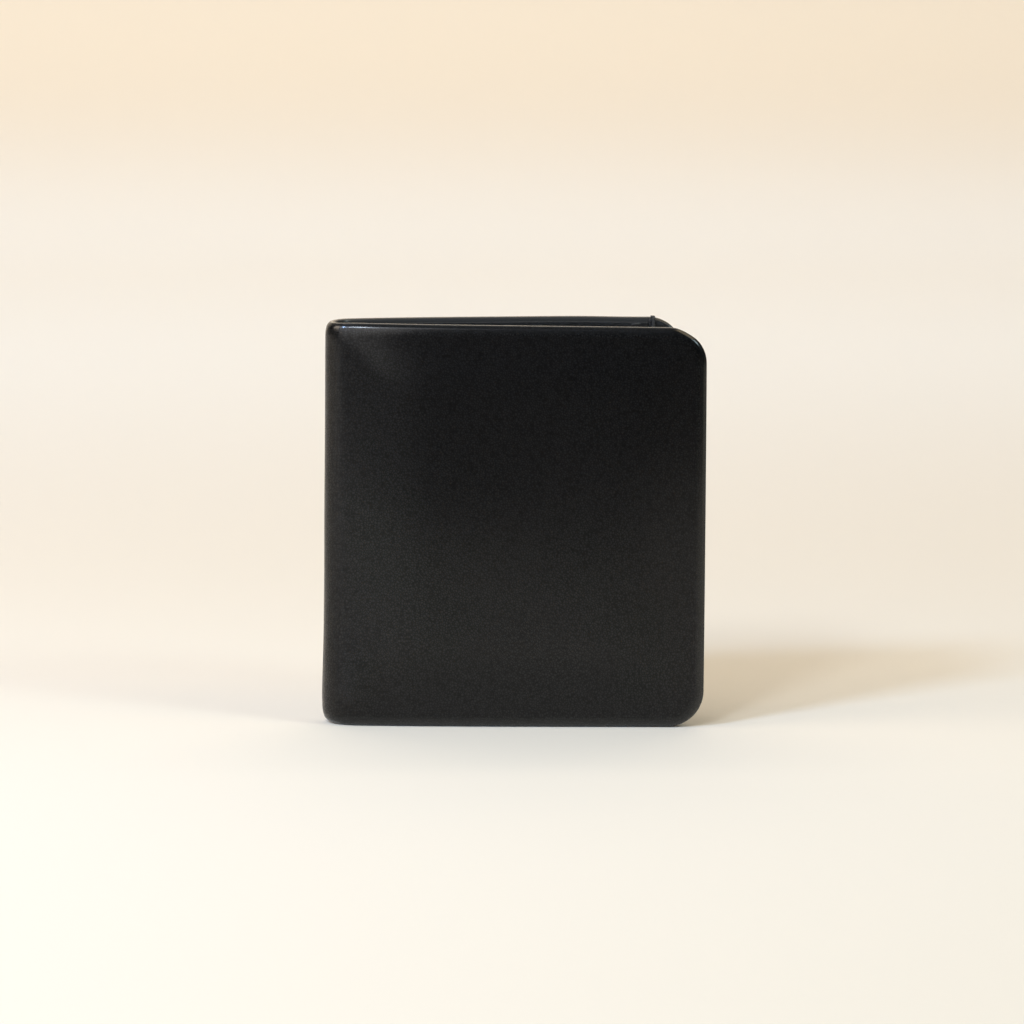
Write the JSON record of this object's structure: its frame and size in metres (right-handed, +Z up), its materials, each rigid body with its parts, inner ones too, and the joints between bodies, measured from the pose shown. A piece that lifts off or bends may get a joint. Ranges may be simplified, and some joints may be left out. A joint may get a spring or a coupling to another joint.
{
  "type": "bifold wallet",
  "caption": "Bifold leather wallet standing slightly ajar: two covers on a rounded spine, with a note compartment and stepped card pockets in each half.",
  "frame": {"origin": "middle of the wallet's footprint, on the surface it stands on", "axes": "+Z up along the fold, +X from the spine towards the free edges, -Y out of the front cover"},
  "size_m": [0.095, 0.0242, 0.101],
  "materials": {
    "cover_leather": "smooth black leather with a fine grain and a low satin sheen",
    "inner_leather": "smooth black leather, a little more matt than the covers",
    "lining": "closely woven black lining cloth",
    "reinforcement": "pressed non-woven sheet, hidden between leather and lining",
    "thread": "waxed black sewing thread"
  },
  "bodies": {
    "rear_half": {"rear_outer_leather": "cover_leather", "rear_reinforcement": "reinforcement", "rear_lining": "lining", "rear_top_facing": "inner_leather", "rear_side_border": "inner_leather", "rear_bottom_border": "inner_leather", "rear_inner_wall": "inner_leather", "rear_card_pocket_upper": "inner_leather", "rear_card_pocket_middle": "inner_leather", "rear_card_pocket_lower": "inner_leather", "rear_pocket_stitching": "thread", "rear_edge_stitching": "thread", "rear_bar_tack": "thread"},
    "spine": {"spine_outer_leather": "cover_leather", "spine_reinforcement": "reinforcement", "spine_lining": "lining"},
    "front_half": {"front_outer_leather": "cover_leather", "front_reinforcement": "reinforcement", "front_lining": "lining", "front_top_facing": "inner_leather", "front_side_border": "inner_leather", "front_bottom_border": "inner_leather", "front_inner_wall": "inner_leather", "front_card_pocket_upper": "inner_leather", "front_card_pocket_middle": "inner_leather", "front_card_pocket_lower": "inner_leather", "front_pocket_stitching": "thread", "front_edge_stitching": "thread", "front_bar_tack": "thread"}
  },
  "joints": [
    {"name": "rear_fold", "type": "hinge", "parent": "rear_half", "child": "spine", "pos_m": [-0.04611, 0.00511, 0.0505], "axis": [0, 0, -1], "range_deg": [-3.5, 86.5]},
    {"name": "front_fold", "type": "hinge", "parent": "spine", "child": "front_half", "pos_m": [-0.04611, -0.00511, 0.0505], "axis": [0, 0, -1], "range_deg": [-3.5, 86.5]}
  ],
  "couplings": [
    {"joint": "front_fold", "follows": "rear_fold", "ratio": 1}
  ]
}
